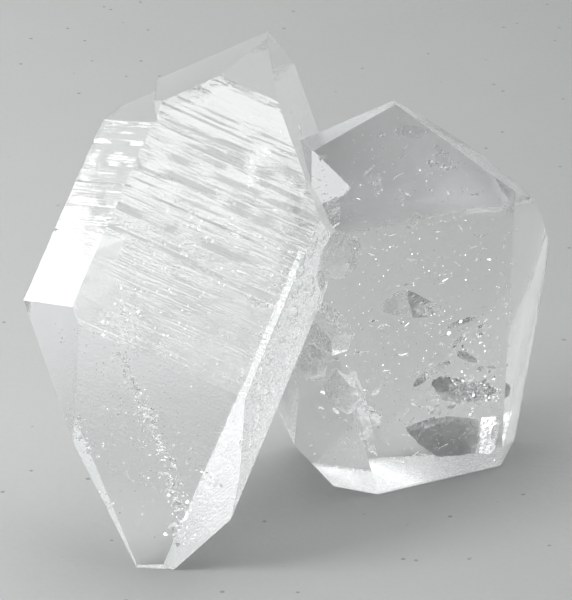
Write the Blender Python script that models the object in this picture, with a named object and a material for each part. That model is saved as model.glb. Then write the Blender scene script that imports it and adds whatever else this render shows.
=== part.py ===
"""A pair of clear quartz crystals that grew together, as one solid. Metres, +Z up.

The origin is on the surface that the pair stands on, below the middle of its bounding box.
-Y is the side that the crystals are usually seen from, and +X is to the right there.
The leaning crystal is a flattened quartz crystal with a point at each end. Its six prism faces stand
60 degrees apart, and each has a rhomb face above and below, all at one slope to the crystal's length.
The standing crystal is broken, so its faces are given one by one.
"""
import math
import random

import bmesh
import bpy
from mathutils import Euler, Matrix, Vector

MM = 0.001

# The leaning crystal: where its middle is, how it is turned, and how far each face is from its middle, in mm.
LEANING_MIDDLE = Vector((-13.9, -13.1, 33.4)) * MM
LEANING_TURN = Euler((math.radians(-35.5), math.radians(23.7), math.radians(-5.0)), "XYZ")
RHOMB_SLOPE = 51.8
SIDE_TURNS = {"front": 0, "right": 60, "back_right": 120, "back": 180, "back_left": 240, "left": 300}
PRISM = {"front": 9.0, "right": 13.9, "back_right": 14.8, "back": 10.5, "back_left": 17.5, "left": 16.6}
UPPER = {"front": 23.3, "right": 19.9, "back_right": 28.4, "back": 33.0, "back_left": 26.4, "left": 25.5}
LOWER = {"front": 13.7, "right": 30.5, "back_right": 31.6, "back": 29.0, "back_left": 19.2, "left": 18.5}

# The standing crystal: its middle, and each face as (compass from -Y towards +X, rise of its normal, mm).
STANDING_MIDDLE = Vector((13.8, 7.9, 27.5)) * MM
STANDING_FACES = {
    "front": (27, 0, 9.0),
    "flank": (-22, -12, 17.1),
    "right": (67, -1, 14.9),
    "right_outer": (73.5, -3.5, 16.3),
    "back_right": (149, -19.5, 25.1),
    "back": (-153, 0, 10.0),
    "back_low": (176, -28, 18.4),
    "left": (-75, 0, 15.7),
    "under_left": (-82, -41.5, 25.6),
    "top_left": (-91, 68, 27.1),
    "top_right": (102, 48.5, 19.6),
    "top_back": (-153, 39, 12.4),
    "shoulder": (125, 38, 19.9),
}

# The broken corner of the leaning crystal above the contact: compass, rise, and mm from its middle.
BROKEN_CORNER = (68, -11, 14.6)

# Growth terraces on the leaning crystal. Each is (height along the crystal, depth below the face), in mm.
LEFT_TERRACES = ((16.4, 0.35), (14.7, 0.24), (10.2, 0.16), (4.0, 0.08))
FRONT_TERRACES = ((24.0, 0.40), (19.5, 0.24), (13.0, 0.14), (6.0, 0.07))
# The upper left growth layer ends in a step: its depth, and a point and direction on the layer, in mm.
LAYER_DEPTH = 1.9
LAYER_EDGE_POINT = (-4.3, 8.6)
LAYER_EDGE_ALONG = (-0.77, 0.64)

# Small crystals grown at the contact: middle, turn in degrees, width and length in mm.
SMALL_CRYSTALS = (
    ((4.2, -6.3, 43.0), (-30, 20, 25), 3.6, 6.5),
    ((3.3, -7.0, 27.4), (-8, -38, 20), 5.6, 13.5),
    ((2.2, -6.6, 21.2), (12, -8, 5), 3.4, 7.5),
    ((6.6, -5.4, 16.5), (0, -24, 30), 4.4, 9.0),
)
# Shell-shaped breaks: middle of the ball that each follows, and its radius, in mm.
SHELL_BREAKS = (
    ((7.2, -9.9, 36.6), 5.4),
    ((5.2, -14.0, 32.0), 2.8),
)

# The rough stretches, each as (face, start and end in mm across and up it, spread, pits, their radii).
FRONT_LOW = ("front", -1)
ETCHED_BAND = ("right", 0)
UPPER_RIGHT = ("right", 1)
ROUGH_STRETCHES = (
    (ETCHED_BAND, (0.5, 12.0), (3.5, -17.0), 4.2, 44, (0.5, 1.3)),
    (FRONT_LOW, (-6.0, -4.1), (5.6, -16.1), 0.5, 13, (0.35, 0.7)),
    (FRONT_LOW, (5.6, -16.1), (11.2, -26.0), 0.9, 12, (0.35, 0.8)),
    (FRONT_LOW, (-9.2, -14.4), (-4.6, -18.8), 0.7, 9, (0.35, 0.7)),
    (FRONT_LOW, (-0.8, -24.0), (0.6, -25.8), 0.6, 4, (0.3, 0.6)),
    (UPPER_RIGHT, (0.5, 19.0), (6.5, 9.0), 1.6, 9, (0.4, 0.9)),
)
PIT_SEED = 7

# The uncut block that every faceted solid starts from, in metres.
BLOCK_SIZE = 0.25


def facing(compass, rise):
    """The unit vector that points along a compass angle, 0 for -Y and 90 for +X, and rises by an angle."""
    turn = math.radians(compass)
    lift = math.radians(rise)
    return Vector((math.cos(lift) * math.sin(turn), -math.cos(lift) * math.cos(turn), math.sin(lift)))


def quartz_normal(side, end):
    """The outward normal of a prism face (end 0), an upper rhomb face (1) or a lower one (-1).

    The crystal's length is along Z.
    """
    turn = math.radians(SIDE_TURNS[side])
    lean = math.radians(RHOMB_SLOPE) if end else math.pi / 2
    return Vector((math.sin(lean) * math.sin(turn), -math.sin(lean) * math.cos(turn), end * math.cos(lean)))


def solid_behind(faces):
    """The convex mesh that lies behind every face, each given as its outward unit normal and distance in mm."""
    block = bmesh.new()
    bmesh.ops.create_cube(block, size=BLOCK_SIZE)
    for normal, distance in faces:
        everything = block.verts[:] + block.edges[:] + block.faces[:]
        cut = bmesh.ops.bisect_plane(
            block,
            geom=everything,
            dist=1e-8,
            plane_co=normal * distance * MM,
            plane_no=normal,
            clear_outer=True,
        )
        rim = [item for item in cut["geom_cut"] if isinstance(item, bmesh.types.BMEdge)]
        if rim:
            bmesh.ops.contextual_create(block, geom=rim)
    bmesh.ops.recalc_face_normals(block, faces=block.faces[:])
    mesh = bpy.data.meshes.new("faceted")
    block.to_mesh(mesh)
    block.free()
    return mesh


def placed(mesh, name, middle, turn):
    """An object that holds the mesh at a middle and a turn, with the placement written into its points."""
    mesh.transform(Matrix.Translation(middle) @ turn.to_matrix().to_4x4())
    thing = bpy.data.objects.new(name, mesh)
    bpy.context.scene.collection.objects.link(thing)
    return thing


def combine(body, tools, operation):
    """Joins or cuts the body with all the tools at once, and removes the tools."""
    group = bpy.data.collections.new("tools")
    for tool in tools:
        group.objects.link(tool)
    boolean = body.modifiers.new("combine", "BOOLEAN")
    boolean.operation = operation
    boolean.solver = "EXACT"
    boolean.operand_type = "COLLECTION"
    boolean.collection = group
    bpy.context.view_layer.update()
    seen = body.evaluated_get(bpy.context.evaluated_depsgraph_get())
    result = bpy.data.meshes.new_from_object(seen)
    body.modifiers.clear()
    body.data = result
    for tool in tools:
        bpy.data.objects.remove(tool, do_unlink=True)
    bpy.data.collections.remove(group)


def leaning_crystal():
    """The flattened crystal with two points, before any growth step or break."""
    faces = []
    for end, distances in ((0, PRISM), (1, UPPER), (-1, LOWER)):
        faces += [(quartz_normal(side, end), distance) for side, distance in distances.items()]
    return placed(solid_behind(faces), "leaning", LEANING_MIDDLE, LEANING_TURN)


def terrace(side, height, depth):
    """The thin slice that a growth step leaves off a prism face above a height."""
    normal = quartz_normal(side, 0)
    slice_faces = [(-normal, depth - PRISM[side]), (Vector((0, 0, -1)), -height)]
    return placed(solid_behind(slice_faces), "terrace", LEANING_MIDDLE, LEANING_TURN)


def layer_step():
    """The wedge left off the upper left rhomb face where its last growth layer ends."""
    normal = quartz_normal("left", 1)
    across = Vector((0, 0, 1)).cross(normal).normalized()
    up = normal.cross(across)
    along = across * LAYER_EDGE_ALONG[0] + up * LAYER_EDGE_ALONG[1]
    point = across * LAYER_EDGE_POINT[0] + up * LAYER_EDGE_POINT[1]
    riser = along.cross(normal).normalized()
    if riser.dot(up) < 0:
        riser = -riser
    wedge_faces = [(-normal, LAYER_DEPTH - UPPER["left"]), (riser, riser.dot(point))]
    return placed(solid_behind(wedge_faces), "layer_step", LEANING_MIDDLE, LEANING_TURN)


def broken_corner():
    """Everything beyond the break at the leaning crystal's right-hand corner."""
    compass, rise, distance = BROKEN_CORNER
    return placed(solid_behind([(-facing(compass, rise), -distance)]), "corner", LEANING_MIDDLE, Euler())


def standing_crystal():
    faces = [(facing(compass, rise), distance) for compass, rise, distance in STANDING_FACES.values()]
    return placed(solid_behind(faces), "standing", STANDING_MIDDLE, Euler())


def small_crystal(middle, turn, width, length):
    """A slim quartz crystal with a point at each end."""
    tip = math.radians(RHOMB_SLOPE)
    reach = length / 2 * math.cos(tip)
    faces = []
    for index, side in enumerate(SIDE_TURNS):
        uneven = 1 + 0.18 * (-1) ** index
        faces.append((quartz_normal(side, 0), width / 2 * uneven))
        faces.append((quartz_normal(side, 1), reach * uneven))
        faces.append((quartz_normal(side, -1), reach / uneven))
    turned = Euler([math.radians(angle) for angle in turn], "XYZ")
    return placed(solid_behind(faces), "small_crystal", Vector(middle) * MM, turned)


def shell_break(middle, radius):
    """A faceted ball, for a hollow with the curved floor that quartz breaks along."""
    ball = bmesh.new()
    bmesh.ops.create_icosphere(ball, subdivisions=2, radius=radius * MM)
    mesh = bpy.data.meshes.new("shell_break")
    ball.to_mesh(mesh)
    ball.free()
    return placed(mesh, "shell_break", Vector(middle) * MM, Euler((0.4, 0.7, 0.2)))


def pit(draw, middle, outward, radius, depth):
    """An uneven lump that sinks a small pit into a face."""
    lump = bmesh.new()
    bmesh.ops.create_icosphere(lump, subdivisions=1, radius=1.0)
    for corner in lump.verts:
        corner.co *= draw.uniform(0.72, 1.15)
    stretch = Matrix.Diagonal((radius * draw.uniform(0.7, 1.3), radius * draw.uniform(0.7, 1.3), depth, 1))
    spin = Matrix.Rotation(draw.uniform(0, math.tau), 4, "Z")
    onto_face = outward.to_track_quat("Z", "Y").to_matrix().to_4x4()
    bmesh.ops.transform(lump, matrix=onto_face @ spin @ stretch, verts=lump.verts)
    bmesh.ops.scale(lump, vec=(MM, MM, MM), verts=lump.verts)
    mesh = bpy.data.meshes.new("pit")
    lump.to_mesh(mesh)
    lump.free()
    return placed(mesh, "pit", middle, Euler())


def face_place(side, end, across_mm, up_mm):
    """The world place and outward direction of a point on a face of the leaning crystal."""
    distance = {0: PRISM, 1: UPPER, -1: LOWER}[end][side]
    normal = quartz_normal(side, end)
    across = Vector((0, 0, 1)).cross(normal).normalized()
    up = normal.cross(across)
    local = normal * distance + across * across_mm + up * up_mm
    turn = LEANING_TURN.to_matrix()
    return LEANING_MIDDLE + turn @ local * MM, turn @ normal


def pits_along(draw, face, start, end, spread, count, radii):
    """Pits along a line on a face of the leaning crystal. The line's ends are in mm across and up the face."""
    made = []
    for index in range(count):
        share = (index + draw.random()) / count
        across = start[0] + (end[0] - start[0]) * share + draw.uniform(-spread, spread)
        up = start[1] + (end[1] - start[1]) * share + draw.uniform(-spread, spread) / 2
        place, outward = face_place(*face, across, up)
        radius = draw.uniform(*radii)
        made.append(pit(draw, place, outward, radius, radius * draw.uniform(0.3, 0.55)))
    return made


def bodies_of(shape):
    """The points of the mesh, in one set for each separate body, the largest last."""
    bodies = []
    for start in shape.verts:
        if any(start in body for body in bodies):
            continue
        found = {start}
        waiting = [start]
        while waiting:
            corner = waiting.pop()
            neighbours = {edge.other_vert(corner) for edge in corner.link_edges} - found
            found |= neighbours
            waiting += neighbours
        bodies.append(found)
    return sorted(bodies, key=len)


def drop_crumbs(shape):
    """Deletes the loose bits that the breaks leave, and keeps the pair itself."""
    for crumb in bodies_of(shape)[:-1]:
        bmesh.ops.delete(shape, geom=list(crumb), context="VERTS")


def clean(body):
    """Joins points that lie on each other and drops the edges between faces in one plane."""
    shape = bmesh.new()
    shape.from_mesh(body.data)
    drop_crumbs(shape)
    bmesh.ops.remove_doubles(shape, verts=shape.verts, dist=2e-6)
    bmesh.ops.dissolve_degenerate(shape, edges=shape.edges, dist=1e-6)
    bmesh.ops.dissolve_limit(shape, angle_limit=math.radians(0.2), verts=shape.verts, edges=shape.edges)
    bmesh.ops.triangulate(shape, faces=shape.faces)
    bmesh.ops.recalc_face_normals(shape, faces=shape.faces)
    shape.to_mesh(body.data)
    shape.free()


def centre_on_floor(body):
    """Puts the middle of the bounding box over the origin, and leaves the height as it is."""
    spots = [corner.co for corner in body.data.vertices]
    shift_x = -(min(spot.x for spot in spots) + max(spot.x for spot in spots)) / 2
    shift_y = -(min(spot.y for spot in spots) + max(spot.y for spot in spots)) / 2
    body.data.transform(Matrix.Translation((shift_x, shift_y, 0)))
    print(f"centring shift {shift_x * 1000:.2f} {shift_y * 1000:.2f} mm")


def rock_crystal():
    """Clear colourless quartz."""
    material = bpy.data.materials.new("rock_crystal")
    material.use_nodes = True
    shader = material.node_tree.nodes["Principled BSDF"]
    shader.inputs["Base Color"].default_value = (0.93, 0.94, 0.95, 1)
    shader.inputs["Roughness"].default_value = 0.03
    shader.inputs["Metallic"].default_value = 0.0
    shader.inputs["IOR"].default_value = 1.544
    shader.inputs["Transmission Weight"].default_value = 0.9
    return material


def build():
    for old in list(bpy.data.objects):
        bpy.data.objects.remove(old, do_unlink=True)
    pair = leaning_crystal()
    pair.name = "quartz_crystals"
    steps = [terrace("left", height, depth) for height, depth in LEFT_TERRACES]
    steps += [terrace("front", height, depth) for height, depth in FRONT_TERRACES]
    combine(pair, steps + [layer_step(), broken_corner()], "DIFFERENCE")
    small = [small_crystal(*each) for each in SMALL_CRYSTALS]
    combine(pair, [standing_crystal()] + small, "UNION")
    draw = random.Random(PIT_SEED)
    worn = [shell_break(*each) for each in SHELL_BREAKS]
    for stretch in ROUGH_STRETCHES:
        worn += pits_along(draw, *stretch)
    below_floor = placed(solid_behind([(Vector((0, 0, 1)), 0.0)]), "below_floor", Vector(), Euler())
    combine(pair, worn + [below_floor], "DIFFERENCE")
    clean(pair)
    centre_on_floor(pair)
    pair.data.materials.clear()
    pair.data.materials.append(rock_crystal())
    print(f"{len(pair.data.polygons)} triangles")


build()
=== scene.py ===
# %% [markdown]
# # A pair of clear quartz crystals
#
# Two crystals of rock crystal that grew together. The left one is flat and pointed at both ends and leans
# on the right one, which is broad and has been broken in places. The solid model gives the faces, steps
# and pits at their real size. This script gives that solid the skin of real quartz: growth lines, etched
# and chipped stretches, and the cracks inside that show through the clear faces.
#
# Units are metres. X is to the right, -Y towards the viewer, +Z up. Small sizes are given in millimetres.

# %% Open the frame
import math
import random

import bmesh
import bpy
from mathutils import Euler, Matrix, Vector, noise
from mathutils.bvhtree import BVHTree


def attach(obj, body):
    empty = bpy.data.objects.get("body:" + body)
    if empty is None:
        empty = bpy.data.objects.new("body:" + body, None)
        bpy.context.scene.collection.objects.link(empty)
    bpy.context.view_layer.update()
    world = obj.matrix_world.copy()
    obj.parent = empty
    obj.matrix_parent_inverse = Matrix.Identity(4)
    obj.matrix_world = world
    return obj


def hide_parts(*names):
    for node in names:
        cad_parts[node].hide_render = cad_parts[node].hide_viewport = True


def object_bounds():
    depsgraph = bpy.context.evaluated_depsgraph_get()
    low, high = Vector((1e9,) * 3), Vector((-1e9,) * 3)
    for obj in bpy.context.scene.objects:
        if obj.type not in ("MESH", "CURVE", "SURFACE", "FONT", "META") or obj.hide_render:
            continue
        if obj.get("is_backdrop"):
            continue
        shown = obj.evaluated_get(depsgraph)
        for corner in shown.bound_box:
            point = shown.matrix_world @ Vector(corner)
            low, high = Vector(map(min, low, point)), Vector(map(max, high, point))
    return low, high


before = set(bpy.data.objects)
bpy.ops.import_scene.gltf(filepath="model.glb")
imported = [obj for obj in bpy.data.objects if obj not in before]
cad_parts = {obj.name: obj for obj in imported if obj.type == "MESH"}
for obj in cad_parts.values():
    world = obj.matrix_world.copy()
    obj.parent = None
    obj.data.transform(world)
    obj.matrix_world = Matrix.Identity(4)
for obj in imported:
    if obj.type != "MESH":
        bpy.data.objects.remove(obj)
cad_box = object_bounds()
MM = 0.001
print("solid", [round((b - a) / MM, 1) for a, b in zip(*cad_box)], "mm")

# %% [markdown]
# ## How the two crystals are turned
#
# Growth lines and etch marks follow the crystal and not the room, so each crystal gets its own frame.
# Quartz prism faces stand 60 degrees apart round the crystal's length, and each end has rhomb faces at
# 51.8 degrees to it. These are the same values that the solid was cut with.

# %% Faces of both crystals
LEANING_MIDDLE = Vector((-14.05, -13.28, 33.4)) * MM
LEANING_TURN = Euler((math.radians(-35.5), math.radians(23.7), math.radians(-5.0)), "XYZ").to_matrix()
RHOMB_SLOPE = math.radians(51.8)
LEANING_FACES = {
    "front": (0, 0, 9.0),
    "right": (60, 0, 13.9),
    "back_right": (120, 0, 14.8),
    "back": (180, 0, 10.5),
    "back_left": (240, 0, 17.5),
    "left": (300, 0, 16.6),
    "front_up": (0, 1, 23.3),
    "right_up": (60, 1, 19.9),
    "back_right_up": (120, 1, 28.4),
    "back_up": (180, 1, 33.0),
    "back_left_up": (240, 1, 26.4),
    "left_up": (300, 1, 25.5),
    "front_low": (0, -1, 13.7),
    "right_low": (60, -1, 30.5),
    "back_right_low": (120, -1, 31.6),
    "back_low": (180, -1, 29.0),
    "back_left_low": (240, -1, 19.2),
    "left_low": (300, -1, 18.5),
}
STANDING_MIDDLE = Vector((13.65, 7.72, 27.5)) * MM
STANDING_FACES = {
    "s_front": (27, 0, 9.0),
    "s_flank": (-22, -12, 17.1),
    "s_right": (67, -1, 14.9),
    "s_right_outer": (73.5, -3.5, 16.3),
    "s_back_right": (149, -19.5, 25.1),
    "s_back": (-153, 0, 10.0),
    "s_back_low": (176, -28, 18.4),
    "s_left": (-75, 0, 15.7),
    "s_under_left": (-82, -41.5, 25.6),
    "s_top_left": (-91, 68, 27.1),
    "s_top_right": (102, 48.5, 19.6),
    "s_top_back": (-153, 39, 12.4),
    "s_shoulder": (125, 38, 19.9),
}

# %% Face planes in the room
def quartz_normal(turn_degrees, end):
    """Outward normal of a face in the leaning crystal's own frame, its length along Z."""
    turn = math.radians(turn_degrees)
    lean = RHOMB_SLOPE if end else math.pi / 2
    return Vector((math.sin(lean) * math.sin(turn), -math.sin(lean) * math.cos(turn), end * math.cos(lean)))


def facing(compass, rise):
    """Unit vector along a compass angle (0 is -Y, 90 is +X) that rises by an angle."""
    turn, lift = math.radians(compass), math.radians(rise)
    return Vector((math.cos(lift) * math.sin(turn), -math.cos(lift) * math.cos(turn), math.sin(lift)))


# name -> (outward normal, a point on the face), both in the room
PLANES = {}
for name, (turn, end, distance) in LEANING_FACES.items():
    normal = LEANING_TURN @ quartz_normal(turn, end)
    PLANES[name] = (normal, LEANING_MIDDLE + normal * distance * MM)
for name, (compass, rise, distance) in STANDING_FACES.items():
    normal = facing(compass, rise)
    PLANES[name] = (normal, STANDING_MIDDLE + normal * distance * MM)
PLANES["s_base"] = (Vector((0, 0, -1)), Vector((0, 0, 0)))

print(len(PLANES), "faces known by name")

# %% [markdown]
# ## The skin of the crystals
#
# The visible piece starts as a copy of the solid's mesh, so that it has exactly its size and place. Real
# crystal edges are never mathematically sharp. They carry a narrow worn line that catches the light. A
# bevel modifier could add it everywhere, but short edges inside chips are fresh and sharp, so only the
# long ones are worn here.

# %% Copy the solid and wear its edges
EDGE_WEAR = 0.09 * MM
LONG_EDGE = 4 * MM
SHARP_EDGE = math.radians(12)
FLAT_ENOUGH = math.radians(0.3)
WELD = 0.002 * MM
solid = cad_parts["quartz_crystals"]
shape = bmesh.new()
shape.from_mesh(solid.data)
bmesh.ops.remove_doubles(shape, verts=shape.verts, dist=WELD)
bmesh.ops.dissolve_limit(shape, angle_limit=FLAT_ENOUGH, verts=shape.verts, edges=shape.edges)
long_edges = [
    edge
    for edge in shape.edges
    if len(edge.link_faces) == 2 and edge.calc_length() > LONG_EDGE and edge.calc_face_angle() > SHARP_EDGE
]
print(len(long_edges), "long edges of", len(shape.edges))
bmesh.ops.bevel(
    shape, geom=long_edges, offset=EDGE_WEAR, offset_type="OFFSET", segments=1, profile=0.5,
    affect="EDGES", clamp_overlap=True,
)
print(sum(not edge.is_manifold for edge in shape.edges), "open edges after the bevel")

# %% [markdown]
# ## Which face a facet belongs to
#
# Relief and finish differ from face to face, so each small facet has to know its face. They could be
# painted on by hand. Here a facet belongs to the named face that it lies closest to and is most nearly
# parallel to, which stays true however finely the skin is divided.

# %% Nearest named face
# Growth terraces lie up to this far under their face, in mm, and still belong to it.
LAYER = 2.4
ABOVE_FACE = 0.02
PARALLEL = 0.99
TERRACE_SHARE = 0.12
TILT_MISS = 3.0
# A facet that fits its face worse than this, about in mm, is part of a chip or a step.
LINED_MISS, CHIP_MISS = 0.5, 0.4


def nearest_plane(point, direction):
    """The named face that a small facet belongs to, and how badly it fits, about in mm."""
    best, least = None, math.inf
    for name, (normal, spot) in PLANES.items():
        off, along = normal.dot(point - spot) / MM, normal.dot(direction)
        terrace = along > PARALLEL and -LAYER < off < ABOVE_FACE
        miss = abs(off) * (TERRACE_SHARE if terrace else 1.0) + TILT_MISS * (1 - along)
        if miss < least:
            best, least = name, miss
    return best, least


def face_of(facet):
    return nearest_plane(facet.calc_center_median(), facet.normal)


# %% [markdown]
# ## Growth lines
#
# The prism faces of quartz are built of thin layers, and the edges of those layers run straight across the
# face, square to the crystal's length. A bump texture could draw them, but a reflection of a lamp only
# breaks into bright and dark lines on a real slope. So the front and left faces are cut along lines at
# uneven spacings, and narrow risers between the strips will be sunk by a few hundredths of a millimetre.

# %% Heights of the growth lines
LINES_FROM, LINES_TO = -10.0, 27.0
STEP_DEPTHS = (0.0, 0.0, 0.018, 0.032, 0.05, 0.07)
RISER = (0.06, 0.16)
FLATS = (0.2, 0.28, 0.4, 0.6, 0.8)
draw = random.Random(11)
c_axis = LEANING_TURN @ Vector((0, 0, 1))
# Each knot is (height along the crystal, depth of the face there), in mm. After a narrow riser the face
# comes back to its full height over the flat that follows.
KNOTS = []
height = LINES_FROM
while height < LINES_TO:
    drop = draw.choice(STEP_DEPTHS)
    riser = draw.uniform(*RISER)
    KNOTS.append((height, 0.0))
    KNOTS.append((height + riser, drop))
    height += riser + draw.choice(FLATS)
print(len(KNOTS) // 2, "growth lines")

# %% Cut the lined faces
SAME_WAY = 0.9995
ON_FACE = 0.6 * MM


def cut_faces(face_name, heights):
    """Splits the facets of one named face along lines square to the crystal's length."""
    normal, spot = PLANES[face_name]

    def mine(facet):
        if facet.normal.dot(normal) < SAME_WAY:
            return False
        return abs(normal.dot(facet.calc_center_median() - spot)) < ON_FACE

    for level in heights:
        faces = [facet for facet in shape.faces if mine(facet)]
        edges = {edge for facet in faces for edge in facet.edges}
        points = {corner for facet in faces for corner in facet.verts}
        bmesh.ops.bisect_plane(
            shape,
            geom=list(points) + list(edges) + faces,
            dist=1e-7,
            plane_co=LEANING_MIDDLE + c_axis * level * MM,
            plane_no=c_axis,
        )


for name in ("front", "left"):
    cut_faces(name, [height for height, depth in KNOTS])
print(len(shape.faces), "facets after the growth lines")

# %% [markdown]
# ## Fine facets
#
# The rest of the skin is divided until no edge is longer than a millimetre and a half, and finer where the
# surface is lined or etched. Then each point can be moved by its own small amount. A subdivision modifier
# would divide every face alike and round the crystal's edges, so long edges are halved here, on the faces
# that need it.

# %% How each face is lined, etched and dulled
STRIATED = {
    "front": 1.0, "left": 1.0, "back": 0.5, "back_left": 0.5, "back_right": 0.5,
    "front_up": 0.15, "left_up": 0.2,
}
ETCHED = {
    "right": 1.0, "right_up": 0.4, "right_low": 0.8, "back_right": 0.45, "back_right_low": 0.45,
    "s_left": 0.6, "s_under_left": 0.45, "s_base": 0.3,
    "front": 0.04, "front_low": 0.06, "left_low": 0.08, "front_up": 0.14, "left_up": 0.12,
    "s_front": 0.04, "s_flank": 0.1, "s_right": 0.08, "s_top_left": 0.12, "s_top_right": 0.12,
}
# Worn a little all over, so that what shows through them is soft.
DULLED = {
    "back": 0.7, "back_up": 0.7, "back_right": 0.7, "back_left": 0.5, "back_low": 0.6, "back_right_up": 0.6,
    "back_left_up": 0.6, "back_right_low": 0.6, "back_left_low": 0.4,
    "s_back": 0.5, "s_back_low": 0.9, "s_top_back": 0.8, "s_shoulder": 0.7, "s_back_right": 0.6,
    "s_base": 1.0, "s_right_outer": 0.2, "front_low": 0.06, "left_low": 0.1,
}
WORN_FACES = ("s_back", "s_top_back", "s_back_low", "s_shoulder", "s_back_right", "s_base")
DEEPLY_ETCHED = 0.5

# %% Divide the skin
# Longest edges in mm, for every face, then the lined ones, the worn ones and the etched ones.
COARSE = (6.0, 3.0, 1.6)
LINED_EDGE, WORN_EDGE, ETCHED_EDGE = 1.1, 0.8, 0.4


def split_long(longest, wanted=None):
    """Halves each edge longer than a length in mm, on all facets or the wanted ones, into triangles."""
    facets = [facet for facet in shape.faces if wanted is None or wanted(facet)]
    edges = {edge for facet in facets for edge in facet.edges if edge.calc_length() > longest * MM}
    shape.edges.index_update()
    bmesh.ops.subdivide_edges(shape, edges=sorted(edges, key=lambda edge: edge.index), cuts=1)
    bmesh.ops.triangulate(shape, faces=[facet for facet in shape.faces if len(facet.verts) > 3])


def is_lined(facet):
    name, miss = face_of(facet)
    return name == "front" and miss < LINED_MISS


def is_etched(facet):
    name, miss = face_of(facet)
    return ETCHED.get(name, 0.0) >= DEEPLY_ETCHED or miss > CHIP_MISS


def is_worn(facet):
    return face_of(facet)[0] in WORN_FACES


bmesh.ops.triangulate(shape, faces=shape.faces)
for longest in COARSE:
    split_long(longest)
bmesh.ops.recalc_face_normals(shape, faces=shape.faces)
split_long(LINED_EDGE, is_lined)
split_long(WORN_EDGE, lambda facet: is_etched(facet) or is_worn(facet))
split_long(ETCHED_EDGE, is_etched)
bmesh.ops.recalc_face_normals(shape, faces=shape.faces)
print(len(shape.faces), "triangles")

# %% [markdown]
# ## Relief
#
# The growth lines are sunk into the lined faces, the etched faces are eaten into unevenly, and the ridges
# of the hidden back are rounded. All of it goes inwards, so the crystals stay inside their own outline.

# %% Depth of the growth lines
def clamp(value, low=0.0, high=1.0):
    return max(low, min(high, value))


def line_relief(level):
    """Depth in mm of the growth relief at a height along the leaning crystal."""
    if level <= KNOTS[0][0] or level >= KNOTS[-1][0]:
        return 0.0
    index = next(i for i in range(1, len(KNOTS)) if level <= KNOTS[i][0])
    (low, low_depth), (high, high_depth) = KNOTS[index - 1], KNOTS[index]
    share = (level - low) / (high - low)
    return low_depth * (1 - share) + high_depth * share


# Two patches of the front face carry no lines, so they mirror the light as one, in mm:
# (x low, x high, z low, z high).
CALM = ((-8.6, 3.4, 23.1, 25.9), (-0.9, 1.4, 14.9, 21.0))


def calm(own):
    """How free of growth lines the front face is at a place in the leaning crystal's frame, 0 to 1."""
    wander = 0.5 * noise.noise((own.x * 1.3, own.z * 1.3, 5.0))
    most = 0.0
    for x_low, x_high, z_low, z_high in CALM:
        inner = min(own.x - x_low, x_high - own.x, own.z - z_low, z_high - own.z) + wander
        most = max(most, clamp(inner / 0.35 + 0.5))
    return most


def growth_depth(own):
    """Depth of the growth lines in mm. They come and go along the face and are faint below its middle."""
    fade = clamp(0.75 + 4.0 * noise.noise((own.x * 0.33, own.y * 0.33, own.z * 0.8)))
    strong = 0.12 + 0.88 * clamp((own.z - 0.5) / 5.0)
    return line_relief(own.z) * fade * strong * (1 - calm(own))


# %% Depth of the etching and the worn ridges
ETCH_DEPTH = 0.10
# The hidden back of the standing crystal is worn: its ridges are rounded by this much, in mm.
WORN_ROUND = 1.5
WORN_RIDGES = (
    ("s_back", "s_top_back"),
    ("s_back", "s_back_low"),
    ("s_top_back", "s_shoulder"),
    ("s_back", "s_back_right"),
)


def etch_depth(spot, etch):
    """Depth of the etching in mm at a spot in mm, for a face that is etched this much."""
    return etch * ETCH_DEPTH * clamp(noise.fractal(spot * 3.1, 0.75, 2.2, 4) + 0.3, 0.0, 2.0)


def ridge_wear(spot):
    """How a point of the worn back moves when each ridge is rounded off, in mm."""
    move = Vector()
    for one, other in WORN_RIDGES:
        (normal_a, on_a), (normal_b, on_b) = PLANES[one], PLANES[other]
        near_a, near_b = normal_a.dot(spot - on_a) / MM, normal_b.dot(spot - on_b) / MM
        if min(near_a, near_b) < -4 * WORN_ROUND or max(near_a, near_b) > 0.3:
            continue
        share_a, share_b = math.exp(near_a / WORN_ROUND), math.exp(near_b / WORN_ROUND)
        blend = (normal_a * share_a + normal_b * share_b) / (share_a + share_b)
        move -= blend * max(0.0, WORN_ROUND * math.log(share_a + share_b))
    return move


# %% Sink every point
moves = {}
for corner in shape.verts:
    own = LEANING_TURN.transposed() @ (corner.co - LEANING_MIDDLE) / MM
    sink = ridge_wear(corner.co)
    for facet in corner.link_faces:
        name, miss = face_of(facet)
        depth = growth_depth(own) if name in ("front", "left") and miss < LINED_MISS else 0.0
        etch = ETCHED.get(name, 0.0)
        if etch >= DEEPLY_ETCHED:
            depth += etch_depth(corner.co / MM, etch)
        sink -= facet.normal * depth / len(corner.link_faces)
    moves[corner] = sink * MM
for corner, move in moves.items():
    corner.co += move
bmesh.ops.recalc_face_normals(shape, faces=shape.faces)
for facet in shape.faces:
    facet.smooth = is_worn(facet)
skin = bpy.data.meshes.new("crystal_skin")
shape.to_mesh(skin)
shape.free()
crystals = bpy.data.objects.new("crystals", skin)
bpy.context.scene.collection.objects.link(crystals)
print("sunk by up to", round(max(move.length for move in moves.values()) / MM, 2), "mm")

# %% [markdown]
# ## Cracks inside
#
# A healed or open crack in quartz is a paper-thin gap. Light that meets it at a slant is thrown back, so
# it shows silvery on one side and dark on the other. A painted spot on the face would not do that. So each
# one here is a closed lens of air with a ragged rim, cut out of the crystal behind the face through which
# it is seen. The outlines are in mm across and up that face.

# %% Looking through a face
EYE = Vector((-1.55, -451.8, 228.4)) * MM
QUARTZ_IOR = 1.544


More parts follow.
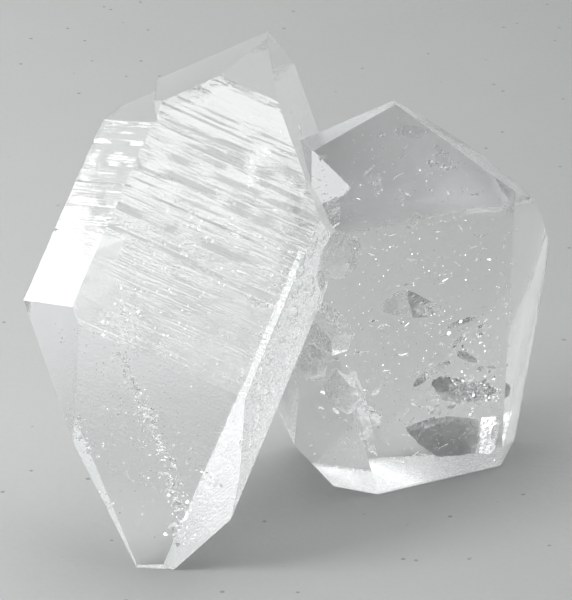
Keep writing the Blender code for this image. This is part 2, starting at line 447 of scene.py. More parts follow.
def face_frame(name):
    """The face's normal, its across and up directions, and its middle, in the room."""
    normal, spot = PLANES[name]
    if name.startswith("s_"):
        side = Vector((0, 0, 1)).cross(normal).normalized()
        return normal, side, normal.cross(side), spot
    turn, end, distance = LEANING_FACES[name]
    side = LEANING_TURN @ Vector((0, 0, 1)).cross(quartz_normal(turn, end)).normalized()
    return normal, side, normal.cross(side), spot


def on_face(name, across, up):
    """A point on a face, in the room, from its middle, across and up it in mm."""
    normal, side, rise, middle = face_frame(name)
    return middle + (side * across + rise * up) * MM


def seen_behind(name, across, up, depth):
    """The point at a depth in mm behind a face that shows at a place on it, as the light bends there."""
    normal = PLANES[name][0]
    window = on_face(name, across, up)
    look = (window - EYE).normalized()
    ratio = 1 / QUARTZ_IOR
    cosine = -look.dot(normal)
    inward = ratio * look + (ratio * cosine - math.sqrt(1 - ratio**2 * (1 - cosine**2))) * normal
    return window + inward * (depth * MM / -inward.dot(normal))


# %% The shape of one crack
RIM_STEP = 0.3
CRACK_FACET = 0.5
RIM_TAPER = 0.4


def ragged(outline, draw, rough):
    """The outline with extra points, moved about to make a broken rim."""
    rim = []
    for index, start in enumerate(outline):
        end = outline[(index + 1) % len(outline)]
        length = math.dist(start, end)
        steps = max(1, round(length / RIM_STEP))
        for step in range(steps):
            share = step / steps
            wander = rough * min(1.0, length) * (0 if step == 0 else 1)
            x = start[0] + (end[0] - start[0]) * share + draw.uniform(-wander, wander)
            y = start[1] + (end[1] - start[1]) * share + draw.uniform(-wander, wander)
            rim.append((x, y))
    return rim


def flat_outline(rim):
    """A flat mesh of small triangles within a rim."""
    flat = bmesh.new()
    flat.faces.new([flat.verts.new((x, y, 0)) for x, y in rim])
    bmesh.ops.triangulate(flat, faces=flat.faces)
    for _ in range(3):
        long_ones = [edge for edge in flat.edges if edge.calc_length() > CRACK_FACET and not edge.is_boundary]
        bmesh.ops.subdivide_edges(flat, edges=long_ones, cuts=1)
        bmesh.ops.triangulate(flat, faces=flat.faces)
    flat.verts.index_update()
    return flat


def make_hole(mesh):
    """Turns the facets of a closed mesh so that it counts as a hole."""
    check = bmesh.new()
    check.from_mesh(mesh)
    if check.calc_volume(signed=True) > 0:
        bmesh.ops.reverse_faces(check, faces=check.faces)
        check.to_mesh(mesh)
    check.free()


def crack(name, face, depth, lean, outline, bow=0.02, ripple=0.10, gap=0.05, rough=0.2, seed=0):
    """A thin closed gap behind a face. lean is how fast it deepens across and up the face."""
    flat = flat_outline(ragged(outline, random.Random(seed), rough))
    middle_x = sum(x for x, y in outline) / len(outline)
    middle_y = sum(y for x, y in outline) / len(outline)
    rim = [corner for corner in flat.verts if corner.is_boundary]
    points, front, back = [], {}, {}
    for corner in flat.verts:
        x, y = corner.co.x, corner.co.y
        dx, dy = x - middle_x, y - middle_y
        deep = depth + lean[0] * dx + lean[1] * dy + bow * (dx * dx + dy * dy)
        deep += ripple * noise.fractal((x * 0.8 + seed, y * 0.8, 0.0), 0.8, 2.0, 4)
        inset = 0.0 if corner.is_boundary else min((corner.co - other.co).length for other in rim)
        half = gap * 0.5 * (1 - math.exp(-inset / RIM_TAPER))
        front[corner.index] = back[corner.index] = len(points)
        points.append(seen_behind(face, x, y, deep - half))
        if not corner.is_boundary:
            back[corner.index] = len(points)
            points.append(seen_behind(face, x, y, deep + half))
    facets = []
    for triangle in flat.faces:
        indices = [corner.index for corner in triangle.verts]
        facets.append([front[i] for i in indices])
        facets.append([back[i] for i in reversed(indices)])
    flat.free()
    mesh = bpy.data.meshes.new(name)
    mesh.from_pydata(points, [], facets)
    mesh.update()
    make_hole(mesh)
    made = bpy.data.objects.new(name, mesh)
    bpy.context.scene.collection.objects.link(made)
    return made


# %% Keeping cracks inside
# Least quartz between a crack and the skin.
SKIN_LEFT = 0.05 * MM
solid_tree = BVHTree.FromPolygons(
    [corner.co for corner in solid.data.vertices], [tuple(face.vertices) for face in solid.data.polygons]
)


def well_inside(spot, room):
    """True where the spot is in the solid and further than room from its skin."""
    nearest, normal, _, distance = solid_tree.find_nearest(spot)
    return (spot - nearest).dot(normal) < 0 and distance > room


def stays_inside(made):
    """True where a whole crack lies in the solid. One that would reach the skin is taken out again."""
    if all(well_inside(corner.co, SKIN_LEFT) for corner in made.data.vertices):
        return True
    print("left out:", made.name)
    bpy.data.objects.remove(made)
    return False


# %% The large cracks
# name: (face, depth in mm, lean, outline)
CRACKS = {
    "half_moon_left": (
        "s_front", 3.0, (-1.05, -0.3),
        (
            (-7.6, 0.4), (-6.7, 1.4), (-5.4, 2.0), (-3.9, 2.3), (-3.4, 0.9), (-3.0, -1.2),
            (-4.9, -1.4), (-7.0, -0.4),
        ),
    ),
    "half_moon_right": (
        "s_front", 3.4, (-0.3, -0.9),
        (
            (-3.8, 2.3), (-2.3, 1.4), (-0.9, 0.4), (0.3, -0.4), (2.0, -1.5), (0.0, -2.6), (-2.6, -2.2),
            (-3.2, 0.2),
        ),
    ),
    "streak": (
        "s_front", 2.4, (0.2, -1.0),
        ((2.4, -4.5), (3.9, -4.1), (5.6, -3.9), (7.3, -3.8), (6.9, -4.4), (5.0, -4.8), (3.0, -5.1)),
    ),
    "mark_up": (
        "s_front", 2.8, (-0.8, -0.9),
        ((3.4, -7.7), (4.4, -6.6), (5.5, -6.1), (4.9, -7.3), (4.0, -8.1)),
    ),
    "mark_down": (
        "s_front", 3.0, (0.7, -0.9),
        ((4.0, -8.3), (5.6, -8.9), (7.0, -10.0), (8.3, -11.1), (6.4, -10.6), (4.6, -9.5)),
    ),
    "diagonal": (
        "s_front", 3.6, (-0.3, -1.0),
        (
            (-2.4, -12.1), (-1.4, -11.0), (0.5, -10.2), (2.3, -9.7), (3.7, -9.6), (2.8, -10.7),
            (0.8, -11.3), (-0.7, -12.1), (-1.9, -12.7),
        ),
    ),
    "mottled_a": (
        "s_front", 4.2, (0.2, -0.8),
        (
            (0.2, -12.3), (2.1, -11.8), (4.2, -12.5), (6.1, -13.8), (8.0, -13.8), (9.9, -14.6),
            (11.2, -16.1), (10.3, -17.1), (8.1, -17.3), (5.9, -16.2), (3.7, -16.3), (1.8, -15.0),
        ),
    ),
    "window": (
        "s_front", 4.7, (0.15, -0.7),
        (
            (-3.7, -18.3), (-0.5, -17.8), (3.4, -18.1), (8.0, -19.6), (7.9, -22.7), (7.6, -24.6),
            (4.8, -24.4), (1.5, -23.8), (-1.2, -21.4),
        ),
    ),
    "bright_patch": (
        "s_front", 4.6, (0.3, 1.12),
        ((8.3, -19.4), (11.4, -19.8), (11.0, -23.2), (10.6, -25.4), (8.2, -24.8)),
    ),
    "blotch": (
        "s_front", 2.2, (0.3, -0.9),
        (
            (-5.7, 25.4), (-4.2, 25.8), (-2.3, 25.2), (-0.9, 24.2), (-1.9, 23.4), (-3.7, 24.0),
            (-5.2, 24.6),
        ),
    ),
    "marks_top_b": (
        "s_front", 2.0, (1.0, -0.6),
        ((-8.9, 18.6), (-7.8, 18.8), (-7.4, 17.2), (-8.3, 16.4)),
    ),
    "marks_top_c": (
        "s_front", 2.0, (1.0, -0.7),
        ((-5.0, 16.9), (-3.8, 16.0), (-4.3, 14.4), (-5.0, 15.3)),
    ),
    "long_seam": (
        "s_front", 3.0, (1.8, 0.3),
        (
            (-12.2, -7.4), (-11.2, -8.2), (-9.8, -12.0), (-8.5, -17.6), (-7.8, -21.6), (-8.9, -20.8),
            (-10.3, -16.4), (-11.6, -11.7),
        ),
    ),
    "curved_mark": (
        "s_front", 3.8, (1.1, -0.7),
        ((-9.9, -13.4), (-8.7, -13.9), (-7.3, -15.7), (-7.4, -17.2), (-8.6, -16.0), (-9.7, -14.6)),
    ),
}
STRAIGHT_RIMMED = ("window", "half_moon_left", "half_moon_right", "blotch")
cracks = []
for index, (name, (face, depth, lean, outline)) in enumerate(CRACKS.items()):
    rough, ripple = (0.03, 0.07) if name in STRAIGHT_RIMMED else (0.1, 0.1)
    made = crack(name, face, depth, lean, outline, ripple=ripple, rough=rough, seed=index)
    if stays_inside(made):
        cracks.append(made)
print(len(cracks), "large cracks")

# %% [markdown]
# ## Shards
#
# Where quartz has been knocked, it is full of small separate gaps that lie roughly one way. The lower
# right of the standing crystal has such a zone. Each shard is made like a large crack, only smaller, so
# that it mirrors light in the same way. A zone says where its shards lie and how they lean.

# %% Shards
# (face, low and high corner in mm across and up it, depths, lean, sizes, how narrow, count)
SHARD_ZONES = (
    ("s_front", (0.0, -17.2), (10.5, -11.8), (2.0, 6.0), (0.2, -0.9), (0.35, 1.1), (0.25, 0.7), 44),
    ("s_front", (1.0, -18.5), (9.5, -15.0), (2.0, 5.0), (0.0, 1.5), (0.2, 0.6), (0.25, 0.7), 14),
    ("s_front", (2.0, -9.5), (9.0, -3.5), (1.5, 4.0), (0.2, -1.0), (0.3, 1.0), (0.15, 0.5), 16),
    ("s_front", (-3.0, -20.0), (2.0, -14.0), (2.0, 5.0), (-0.4, -0.9), (0.3, 0.9), (0.25, 0.6), 12),
    ("s_front", (-9.5, 18.0), (-3.5, 25.0), (1.5, 4.0), (-0.8, -0.5), (0.3, 0.9), (0.1, 0.4), 10),
    ("s_front", (-12.0, -22.0), (-8.0, -12.0), (1.5, 3.5), (1.3, 0.3), (0.4, 1.1), (0.2, 0.5), 10),
    ("s_front", (-11.0, -20.0), (9.5, 22.0), (1.5, 8.0), (0.0, -0.8), (0.3, 1.3), (0.06, 0.2), 40),
    ("s_front", (-11.0, -20.0), (9.5, 22.0), (1.5, 8.0), (0.0, 1.4), (0.2, 0.8), (0.08, 0.3), 30),
    ("s_flank", (-6.0, -20.0), (2.0, -4.0), (1.2, 3.0), (0.9, 1.2), (0.3, 1.0), (0.2, 0.6), 14),
    ("front", (-8.5, 1.0), (7.5, 22.5), (0.4, 2.5), (0.0, 1.5), (0.3, 1.7), (0.03, 0.09), 90),
    ("s_front", (-2.0, -23.0), (7.5, -19.0), (3.0, 6.0), (0.2, 1.35), (0.3, 1.2), (0.04, 0.12), 14),
    ("front", (-0.4, 14.6), (1.6, 21.0), (0.4, 3.0), (0.1, 1.5), (0.3, 0.9), (0.3, 0.7), 16),
)
SHARD_CORNERS = 9


def shard_outline(draw, face, low, high, sizes, narrow):
    """The rim of one shard, somewhere between two corners of its zone."""
    across, up = draw.uniform(low[0], high[0]), draw.uniform(low[1], high[1])
    size, stretch = draw.uniform(*sizes), draw.uniform(*narrow)
    spin = draw.gauss(0.0, 0.05 if face == "front" else 0.35)
    rim = []
    for step in range(SHARD_CORNERS):
        turn = math.tau * step / SHARD_CORNERS
        x = math.cos(turn) * size * draw.uniform(0.6, 1.1)
        y = math.sin(turn) * size * stretch * draw.uniform(0.6, 1.1)
        turned_x = x * math.cos(spin) - y * math.sin(spin)
        turned_y = x * math.sin(spin) + y * math.cos(spin)
        rim.append((across + turned_x, up + turned_y))
    return rim


draw = random.Random(23)
for zone, (face, low, high, depths, lean, sizes, narrow, count) in enumerate(SHARD_ZONES):
    for index in range(count):
        rim = shard_outline(draw, face, low, high, sizes, narrow)
        tip = (lean[0] + draw.gauss(0, 0.3), lean[1] + draw.gauss(0, 0.25))
        made = crack(f"shard_{zone}_{index}", face, draw.uniform(*depths), tip, rim, seed=100 * zone + index)
        if stays_inside(made):
            cracks.append(made)
print(len(cracks), "cracks,", sum(len(each.data.polygons) for each in cracks), "triangles")

# %% [markdown]
# ## Flakes
#
# Bruises and the chipped line on the leaning crystal are nests of still smaller gaps, each a few tenths of
# a millimetre, and finer ones are scattered all through both crystals. Turned every way, some of them
# catch the light and sparkle. There are thousands, so each is only two shallow cones of seven facets, and
# all share one mesh.

# %% Where the flakes are
# Bruised and chipped stretches:
# (face, radius in mm, points across and up the face, flakes to a point, largest in mm)
BRUISES = (
    (
        "front_low", 0.45,
        ((-6.0, -4.1), (-5.1, -5.0), (-4.2, -6.0), (-3.2, -7.0), (-2.3, -7.9), (-1.5, -8.7)),
        32, 0.3,
    ),
    (
        "front_low", 0.55,
        ((-0.7, -9.5), (0.2, -10.3), (1.0, -11.1), (2.1, -12.4), (3.3, -13.6), (4.4, -14.8)),
        50, 0.4,
    ),
    (
        "front_low", 0.75,
        ((5.6, -16.1), (7.2, -18.2), (8.8, -20.3), (9.8, -21.6), (10.4, -23.6), (10.9, -25.4)),
        50, 0.34,
    ),
    (
        "front_low", 0.9,
        ((10.2, -15.0), (12.1, -15.9), (11.4, -24.2), (13.6, -25.2), (-3.3, -11.5)),
        24, 0.3,
    ),
    (
        "front_low", 0.8,
        ((-9.2, -14.8), (-7.4, -16.2), (-6.0, -17.8), (-4.4, -19.0), (-0.5, -24.4), (1.1, -25.8)),
        30, 0.36,
    ),
    (
        "front_low", 2.6,
        ((-5.0, -10.0), (-2.0, -14.0), (2.0, -17.0), (5.0, -20.0), (8.0, -12.0), (-6.0, 0.5)),
        26, 0.22,
    ),
    ("front", 0.8, ((-7.6, -6.5), (-7.4, -4.6), (-9.3, -8.9)), 20, 0.3),
    (
        "front", 1.1,
        ((8.8, 6.0), (9.4, 1.6), (9.6, -2.6), (9.6, -7.9), (9.0, 9.0), (7.0, 12.6)),
        24, 0.25,
    ),
    (
        "front", 2.5,
        ((3.0, 24.0), (4.0, 20.0), (-4.0, 8.0), (-8.0, 2.0), (0.0, 4.0), (-4.6, 7.9), (-3.7, 10.8)),
        30, 0.25,
    ),
    ("front", 0.35, ((-3.2, 7.1), (3.0, 24.6), (3.8, 23.6)), 8, 0.2),
    ("right_up", 1.3, ((-2.0, 13.6), (0.5, 18.0), (3.5, 13.0), (5.5, 9.5)), 24, 0.25),
    ("left_low", 1.0, ((-3.0, -1.6), (0.0, -1.5), (3.0, -1.4)), 14, 0.22),
    (
        "s_front", 1.0,
        (
            (10.1, -15.6), (9.0, -15.5), (10.0, -17.5), (4.0, -13.0), (2.0, -4.0), (6.3, -7.3),
            (6.0, -16.0),
        ),
        20, 0.3,
    ),
    (
        "s_front", 5.0,
        ((-6.0, 18.0), (2.0, 12.0), (-8.0, 6.0), (4.0, 2.0), (-4.0, -8.0), (6.0, 18.0)),
        20, 0.16,
    ),
    (
        "s_right", 0.45,
        ((3.2, 12.0), (3.2, 9.0), (3.2, 6.0), (3.2, 3.0), (3.2, 0.0), (3.2, -3.0)),
        12, 0.25,
    ),
)
# Dark flakes in two short lines that meet, near the top of the standing crystal.
CHEVRON = (
    (0.5, 22.0), (0.9, 21.5), (1.4, 21.0), (1.9, 20.5), (2.4, 19.9), (2.9, 19.3), (3.3, 18.6),
    (2.4, 18.4), (1.5, 18.7), (0.6, 19.2), (-0.2, 19.6),
)
# Fine dust all through both crystals: (face, low and high corner in mm across and up it, count).
DUST = (
    ("s_front", (-13.0, -27.0), (13.0, 29.0), 1250),
    ("front", (-11.0, -10.0), (11.0, 27.0), 650),
    ("front_low", (-9.0, -27.0), (13.0, -2.0), 420),
    ("s_flank", (-8.0, -22.0), (4.0, 6.0), 90),
)
BRIGHT_IN_BRUISES, BRIGHT_IN_DUST = 0.93, 0.7


# %% One flake
FLAKE_CORNERS = 7
FLAKE_HALF = 0.01


def add_flake(points, facets, face, x, y, depth, lean, size, draw):
    """A tiny flat gap seen at a place on a face. It is left out where it would reach the skin."""
    if not well_inside(seen_behind(face, x, y, depth), size * (1.0 + math.hypot(*lean)) * MM):
        return
    start = len(points)
    for step in range(FLAKE_CORNERS):
        angle, reach = math.tau * step / FLAKE_CORNERS, size * draw.uniform(0.4, 1.15)
        dx, dy = math.cos(angle) * reach, math.sin(angle) * reach
        points.append(seen_behind(face, x + dx, y + dy, depth + lean[0] * dx + lean[1] * dy))
    points.append(seen_behind(face, x, y, depth - FLAKE_HALF))
    points.append(seen_behind(face, x, y, depth + FLAKE_HALF))
    near, far = start + FLAKE_CORNERS, start + FLAKE_CORNERS + 1
    for step in range(FLAKE_CORNERS):
        here, there = start + step, start + (step + 1) % FLAKE_CORNERS
        facets.append((there, here, near))
        facets.append((here, there, far))


# Flakes that deepen upwards mirror the bright room above, those that deepen downwards mirror the dark
# floor.
def bright_lean(draw):
    return draw.uniform(-0.7, 0.7), draw.uniform(1.25, 2.3)


def dark_lean(draw):
    return draw.uniform(-0.5, 0.5), draw.uniform(-1.3, -0.8)


# %% All flakes in one mesh
draw = random.Random(31)
points, facets = [], []
for face, radius, spots, count, largest in BRUISES:
    for across, up in spots:
        for _ in range(count):
            x, y = across + draw.gauss(0, radius), up + draw.gauss(0, radius)
            size = 0.05 + (largest - 0.05) * draw.random() ** 2
            lean = bright_lean(draw) if draw.random() < BRIGHT_IN_BRUISES else dark_lean(draw)
            depth = size * 2.2 + draw.random() ** 2
            add_flake(points, facets, face, x, y, depth, lean, size, draw)
for across, up in CHEVRON:
    for _ in range(7):
        lean = dark_lean(draw) if draw.random() < 0.75 else bright_lean(draw)
        x, y = across + draw.gauss(0, 0.16), up + draw.gauss(0, 0.16)
        depth, size = draw.uniform(0.8, 1.6), draw.uniform(0.1, 0.32)
        add_flake(points, facets, "s_front", x, y, depth, lean, size, draw)
for face, low, high, count in DUST:
    for _ in range(count):
        x, y = draw.uniform(low[0], high[0]), draw.uniform(low[1], high[1])
        lean = bright_lean(draw) if draw.random() < BRIGHT_IN_DUST else dark_lean(draw)
        depth, size = draw.uniform(0.4, 7.0), draw.uniform(0.03, 0.13)
        add_flake(points, facets, face, x, y, depth, lean, size, draw)
dust_mesh = bpy.data.meshes.new("dust")
dust_mesh.from_pydata(points, [], facets)
dust_mesh.update()
dust_gaps = bpy.data.objects.new("dust", dust_mesh)
bpy.context.scene.collection.objects.link(dust_gaps)
cracks.append(dust_gaps)
print(len(facets) // (2 * FLAKE_CORNERS), "flakes")

# %% [markdown]
# ## Where each finish goes
#
# The finish changes from face to face: mirror-bright with growth lines on the front and left of the
# leaning crystal, etched and frosted on its right, plain on the standing crystal. Separate materials would
# show a hard seam between them. So each corner stores how lined, frosted, dulled and bruised it is, and
# its place in its crystal's own frame in millimetres, and one material reads them.

# %% Bruised places
bruise_points = [
    (on_face(face, across, up), radius * MM)
    for face, radius, spots, count, largest in BRUISES
    for across, up in spots
    if radius < 2
]


def bruised_at(spot):
    return max(math.exp(-(((spot - centre).length / radius) ** 2)) for centre, radius in bruise_points)


# %% Store the finish
BRUISED_FACES = {"right": 0.35, "s_base": 0.8}


def store(name, kind, values):
    layer = skin.attributes.new(name, kind, "CORNER")
    layer.data.foreach_set("vector" if kind == "FLOAT_VECTOR" else "value", values)


growth, lined, frosted, dulled, bruised = [], [], [], [], []
bruise_of = [bruised_at(corner.co) for corner in skin.vertices]
for facet in skin.polygons:
    name, miss = nearest_plane(facet.center, facet.normal)
    rough_spot = 0.0 if name in WORN_FACES else clamp((miss - 0.25) / 0.5)
    for index in facet.vertices:
        spot = skin.vertices[index].co
        if name.startswith("s_"):
            own = (spot - STANDING_MIDDLE) / MM
        else:
            own = LEANING_TURN.transposed() @ (spot - LEANING_MIDDLE) / MM
        growth.extend(own)
        lined.append(STRIATED.get(name, 0.0) * (1 - rough_spot) * (1 - calm(own) if name == "front" else 1))
        frosted.append(max(rough_spot * 0.9, ETCHED.get(name, 0.0)))
        dulled.append(DULLED.get(name, 0.0))
        bruised.append(max(bruise_of[index], rough_spot * 0.6, BRUISED_FACES.get(name, 0.0)))
store("growth", "FLOAT_VECTOR", growth)
store("lined", "FLOAT", lined)
store("frosted", "FLOAT", frosted)
store("dulled", "FLOAT", dulled)
store("bruised", "FLOAT", bruised)
print(round(sum(share > 0.5 for share in bruised) / len(bruised), 3), "of the skin's corners are bruised")

# %% [markdown]
# ## Clear quartz
#
# Rock crystal lets nearly all light through and bends it with an index of 1.544. It has no colour of its
# own, a faint grey absorption at most. It is grown and not cut, so its polish is broken by growth lines
# along the face and by etch grain, which give the eye the streaks and the frost.

# %% Small helpers for materials
def colour(code):
    """Linear colour from an sRGB hex code."""
    parts = [int(code[i : i + 2], 16) / 255 for i in (1, 3, 5)]
    return [p / 12.92 if p <= 0.04045 else ((p + 0.055) / 1.055) ** 2.4 for p in parts] + [1.0]


def node(tree, kind, links=(), **settings):
    """Adds a shader node. A setting is the node's own, or the input of that name, and in2 is its input 2."""
    made = tree.nodes.new("ShaderNode" + kind)
    for key, value in settings.items():
        if hasattr(made, key):
            setattr(made, key, value)
        elif key.startswith("in"):
            made.inputs[int(key[2:])].default_value = value
        else:
            made.inputs[key.replace("_", " ").title()].default_value = value
    for target, source in links:
        tree.links.new(source, made.inputs[target])
    return made


def material(name):
    made = bpy.data.materials.new(name)
    made.use_nodes = True
    return made, made.node_tree, made.node_tree.nodes["Principled BSDF"]


# %% Quartz and its place on the crystal
quartz, tree, skin_shader = material("rock_crystal")
skin_shader.inputs["Base Color"].default_value = colour("#FBFCFC")
skin_shader.inputs["IOR"].default_value = QUARTZ_IOR
skin_shader.inputs["Transmission Weight"].default_value = 1.0
place = node(tree, "Attribute", attribute_name="growth")
line_share = node(tree, "Attribute", attribute_name="lined")
frost_share = node(tree, "Attribute", attribute_name="frosted")
dull_share = node(tree, "Attribute", attribute_name="dulled")
bruise_share = node(tree, "Attribute", attribute_name="bruised")

# %% Growth lines too fine for the mesh
# Real sizes in mm: how far apart the lines are, and how far one runs before it fades.
LINE_GAP, LINE_LENGTH = 0.25, 4.55
BAND_GAP, BAND_LENGTH = 1.43, 20.0
here = ("Vector", place.outputs["Vector"])
along = node(tree, "Mapping", [here])
along.inputs["Scale"].default_value = (1 / LINE_LENGTH, 1 / LINE_LENGTH, 1 / LINE_GAP)
fine = node(tree, "TexNoise", [("Vector", along.outputs[0])], scale=1.0, detail=5.0, roughness=0.65)
broad_map = node(tree, "Mapping", [here])
broad_map.inputs["Scale"].default_value = (1 / BAND_LENGTH, 1 / BAND_LENGTH, 1 / BAND_GAP)
broad = node(tree, "TexNoise", [("Vector", broad_map.outputs[0])], scale=1.0, detail=3.0)
stretch = node(tree, "TexNoise", [here], scale=1 / LINE_LENGTH, detail=2.0)
where = node(tree, "MapRange", [("Value", stretch.outputs["Fac"])], in1=0.35, in2=0.65, in3=0.25, in4=1.3)
fine_here = node(tree, "Math", [(0, fine.outputs["Fac"]), (1, where.outputs[0])], operation="MULTIPLY")
lines_sum = node(tree, "Math", [(0, fine_here.outputs[0]), (1, broad.outputs["Fac"])], operation="ADD")
lines_height = node(
    tree, "Math", [(0, lines_sum.outputs[0]), (1, line_share.outputs["Fac"])], operation="MULTIPLY"
)
bump_lines = node(tree, "Bump", [("Height", lines_height.outputs[0])], strength=0.1, distance=0.2 * MM)

# %% Etch grain and frost
# Real sizes in mm of the etch grain and of the pits among it.
GRAIN, PIT = 0.357, 0.455
grain = node(tree, "TexNoise", [here], scale=1 / GRAIN, detail=6.0, roughness=0.7)
pits = node(tree, "TexVoronoi", [here], scale=1 / PIT)
etched = node(tree, "Math", [(0, grain.outputs["Fac"]), (1, pits.outputs["Distance"])], operation="ADD")
etch_height = node(
    tree, "Math", [(0, etched.outputs[0]), (1, frost_share.outputs["Fac"])], operation="MULTIPLY"
)
bump_etch = node(
    tree, "Bump", [("Height", etch_height.outputs[0]), ("Normal", bump_lines.outputs[0])],
    strength=0.5, distance=0.2 * MM,
)
tree.links.new(bump_etch.outputs[0], skin_shader.inputs["Normal"])
patch = node(tree, "MapRange", [("Value", grain.outputs["Fac"])], in1=0.35, in2=0.65, in3=0.35, in4=1.0)
rough = node(
    tree, "Math",
    [(0, patch.outputs[0]), (1, frost_share.outputs["Fac"]), (2, dull_share.outputs["Fac"])],
    operation="MULTIPLY_ADD",
)
# A fresh quartz face is nearly a mirror, a frosted one is as rough as ground glass.
rough_out = node(tree, "MapRange", [("Value", rough.outputs[0])], in1=0.0, in2=1.0, in3=0.015, in4=0.34)
tree.links.new(rough_out.outputs[0], skin_shader.inputs["Roughness"])

# %% Bruises and absorption
# Bruises are nests of tiny cracks. They scatter light, so they show white, in grains and not as an even
# patch.
CRUMB = 0.385
crumbs = node(tree, "TexNoise", [here], scale=1 / CRUMB, detail=8.0, roughness=0.75)
crumbled = node(
    tree, "Math", [(0, crumbs.outputs["Fac"]), (1, bruise_share.outputs["Fac"])], operation="MULTIPLY"
)
clear = node(tree, "MapRange", [("Value", crumbled.outputs[0])], in1=0.40, in2=0.52, in3=1.0, in4=0.35)
tree.links.new(clear.outputs[0], skin_shader.inputs["Transmission Weight"])
absorb = node(tree, "VolumeAbsorption")
absorb.inputs["Color"].default_value = colour("#F4F6F6")
absorb.inputs["Density"].default_value = 4.0
tree.links.new(absorb.outputs[0], tree.nodes["Material Output"].inputs["Volume"])
print(len(tree.nodes), "nodes in the quartz")

# %% [markdown]
# ## The walls of a crack
#
# A crack's walls are fresh broken quartz: clear, with the same index, and a little uneven, which makes
# their mirror images break up. They get no absorption, because there is only air between them.

# %% Crack walls
BREAK_GRAIN = 1.111 * MM
crack_air, tree, crack_shader = material("crack_in_quartz")
crack_shader.inputs["Base Color"].default_value = colour("#FFFFFF")
crack_shader.inputs["IOR"].default_value = QUARTZ_IOR
crack_shader.inputs["Transmission Weight"].default_value = 1.0
spread = node(tree, "TexCoord")
wall_place = ("Vector", spread.outputs["Object"])
uneven = node(tree, "TexNoise", [wall_place], scale=1 / BREAK_GRAIN, detail=5.0, roughness=0.7)
wall_rough = node(tree, "MapRange", [("Value", uneven.outputs["Fac"])], in1=0.35, in2=0.7, in3=0.02, in4=0.3)
tree.links.new(wall_rough.outputs[0], crack_shader.inputs["Roughness"])
wall_bump = node(tree, "Bump", [("Height", uneven.outputs["Fac"])], strength=0.15, distance=0.3 * MM)
tree.links.new(wall_bump.outputs[0], crack_shader.inputs["Normal"])

# %% [markdown]
# ## One piece
#
# The skin and its cracks are one piece of quartz. Joined in one mesh, the cracks are holes in it, and
# light knows at every wall whether it enters quartz or air.

# %% Join the crystals
skin.materials.clear()
skin.materials.append(quartz)
for each in cracks:
    each.data.materials.append(crack_air)
with bpy.context.temp_override(active_object=crystals, selected_editable_objects=[crystals] + cracks):
    bpy.ops.object.join()
print(len(crystals.data.polygons), "triangles in all")
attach(crystals, "root")
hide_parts("quartz_crystals")

# %% [markdown]
# ## The table
#
# The pair stands on pale matt drawing paper, which has almost no sheen and a fine tooth. Its colour is
# painted lighter to the left and darker to the right, a painted falloff of the light from the left, and it
# carries a few grey specks. It lies a tenth of a millimetre below the crystals' feet: a face of clear quartz
# that touches the paper exactly would come out black.

# %% Paper
PAPER_RADIUS = 0.27
PAPER_DROP = 0.1 * MM
# Real sizes: the paper's tooth, its clouds of tone and the distance between specks.
TOOTH, CLOUD, SPECK_GAP = 1.111 * MM, 22.2 * MM, 4.762 * MM
paper, tree, paper_shader = material("paper")
paper_shader.inputs["Roughness"].default_value = 0.85
paper_shader.inputs["Specular IOR Level"].default_value = 0.2
spread = node(tree, "TexCoord")
flat_place = ("Vector", spread.outputs["Object"])
fibre = node(tree, "TexNoise", [flat_place], scale=1 / TOOTH, detail=6.0, roughness=0.7)
cloud = node(tree, "TexNoise", [flat_place], scale=1 / CLOUD, detail=4.0)
mixed = node(tree, "Math", [(0, fibre.outputs["Fac"]), (1, cloud.outputs["Fac"])], operation="ADD")
# Painted light falloff: the paper's colour is painted lighter to the left and darker to the right along X,
# mixed with the random tone of the fibre and the clouds.
painted_falloff_across = node(tree, "SeparateXYZ", [(0, spread.outputs["Object"])])
tone_and_painted_falloff = node(
    tree, "Math", [(0, mixed.outputs[0]), (2, painted_falloff_across.outputs["X"])], operation="MULTIPLY_ADD", in1=0.03
)
tone_mix_with_painted_falloff = node(tree, "MapRange", [("Value", tone_and_painted_falloff.outputs[0])], in1=-0.07, in2=0.15, in3=1.0, in4=0.0)
sheet = node(tree, "Mix", [("Factor", tone_mix_with_painted_falloff.outputs[0])], data_type="RGBA")
sheet.inputs["A"].default_value = colour("#8E8F8E")
sheet.inputs["B"].default_value = colour("#ABACAB")
specks = node(tree, "TexVoronoi", [flat_place], scale=1 / SPECK_GAP)
specks_here = node(
    tree, "MapRange", [("Value", specks.outputs["Distance"])], in1=0.05, in2=0.08, in3=1.0, in4=0.0
)
specked = node(
    tree, "Mix", [("Factor", specks_here.outputs[0]), ("A", sheet.outputs["Result"])], data_type="RGBA"
)
specked.inputs["B"].default_value = colour("#7E7F7F")
tree.links.new(specked.outputs["Result"], paper_shader.inputs["Base Color"])
tooth = node(tree, "Bump", [("Height", fibre.outputs["Fac"])], strength=0.35, distance=0.3 * MM)
tree.links.new(tooth.outputs[0], paper_shader.inputs["Normal"])
bpy.ops.mesh.primitive_circle_add(
    vertices=96, radius=PAPER_RADIUS, fill_type="NGON", location=(0, 0, -PAPER_DROP)
)
floor = bpy.context.object
floor.name = "floor"
floor.data.materials.append(paper)
floor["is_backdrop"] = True

# %% [markdown]
# ## The room and the lights
#
# Clear quartz is seen by what it mirrors and bends, so the room matters as much as the lamps. It is white
# behind and above, and grey in front, which gives the faces their different tones. Two soft lights make
# the shadows: a small one high at the left front, and a broad one overhead. The other four are cards that
# show only in the faces that mirror them, two at the left rear for the white left face and two in front
# for the front face with its growth lines.

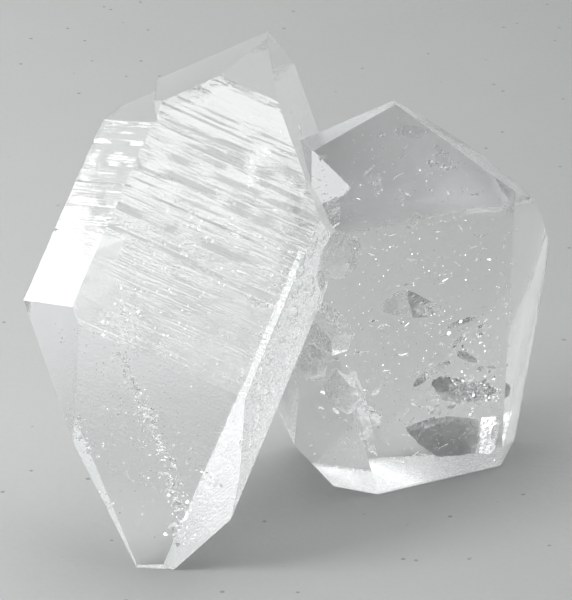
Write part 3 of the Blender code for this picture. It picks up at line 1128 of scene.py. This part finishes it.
# %% Room
world = bpy.data.worlds.new("studio")
bpy.context.scene.world = world
world.use_nodes = True
tree = world.node_tree
sky = tree.nodes["Background"]
way = node(tree, "TexCoord")
towards = node(tree, "VectorMath", [(0, way.outputs["Generated"])], operation="DOT_PRODUCT")
towards.inputs[1].default_value = (0.25, -0.92, -0.30)
room = node(tree, "MapRange", [("Value", towards.outputs["Value"])], in1=-0.35, in2=0.75)
room.interpolation_type = "SMOOTHSTEP"
walls = node(tree, "Mix", [("Factor", room.outputs[0])], data_type="RGBA")
walls.inputs["A"].default_value = colour("#FDFFFF")
walls.inputs["B"].default_value = colour("#8E8F90")
tree.links.new(walls.outputs["Result"], sky.inputs["Color"])
room_height = node(tree, "SeparateXYZ", [(0, way.outputs["Generated"])])
lift = node(
    tree, "MapRange", [("Value", room_height.outputs["Z"])], in1=-0.05, in2=0.4, in3=0.78, in4=1.0
)
tree.links.new(lift.outputs[0], sky.inputs["Strength"])

# %% Lights
LIT_PLACE = Vector((0, 0, 30)) * MM


def softbox(name, compass, rise, distance, width, height, strength, lights=True, shows_through=False):
    """A rectangular light at a compass angle and height seen from the crystals, turned towards them."""
    lamp = bpy.data.lights.new(name, "AREA")
    lamp.shape = "RECTANGLE"
    lamp.size, lamp.size_y = width, height
    lamp.energy = strength * width * height * math.pi
    holder = bpy.data.objects.new(name, lamp)
    way = facing(compass, rise)
    holder.location = LIT_PLACE + way * distance
    holder.rotation_euler = way.to_track_quat("Z", "Y").to_euler()
    holder.visible_diffuse = lights
    holder.visible_transmission = shows_through
    bpy.context.scene.collection.objects.link(holder)


softbox("left_key", -66, 46, 0.34, 0.12, 0.12, 13.0)
softbox("top_light", 160, 78, 0.50, 0.42, 0.42, 2.2, shows_through=True)
softbox("low_card", -125, 8.5, 0.36, 0.22, 0.10, 7.5, lights=False)
softbox("left_card", -125, 22.3, 0.36, 0.22, 0.07, 2.4, lights=False)
softbox("front_card", 24, 48.0, 0.60, 0.30, 0.17, 8.5, lights=False)
softbox("front_sheet", 20, 29, 0.60, 0.40, 0.19, 2.6, lights=False)
print(len(bpy.data.lights), "lights")

# %% [markdown]
# ## The camera
#
# The photograph looks down at 24 degrees from about 48 cm away, with a long lens. A ray needs up to
# sixteen bounces: it is mirrored to and fro between the faces before it gets out, and one that is cut
# short is black.

# %% Place the camera
target = Vector((-1.55, -13.28, 33.2)) * MM
lens = bpy.data.cameras.new("camera")
lens.sensor_width = 36.0
lens.lens = 221.5
lens.clip_start, lens.clip_end = 0.01, 20.0
camera = bpy.data.objects.new("camera", lens)
camera.location = EYE
camera.rotation_euler = (target - EYE).to_track_quat("-Z", "Y").to_euler()
bpy.context.scene.collection.objects.link(camera)
bpy.context.scene.camera = camera
print("camera", round((target - EYE).length, 2), "m from the crystals")

# %% Tones and bounces
view = bpy.context.scene.view_settings
view.view_transform = "Standard"
view.look = "None"
bounces = bpy.context.scene.cycles
bounces.max_bounces = 16
bounces.transmission_bounces = 16
bounces.glossy_bounces = 12
bounces.transparent_max_bounces = 16

# %% The sizes of the solid and of the visible piece
sizes = {"cad": [list(corner) for corner in cad_box], "visual": [list(corner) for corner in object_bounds()]}
print("visual", [round((b - a) / MM, 1) for a, b in zip(*sizes["visual"])], "mm")
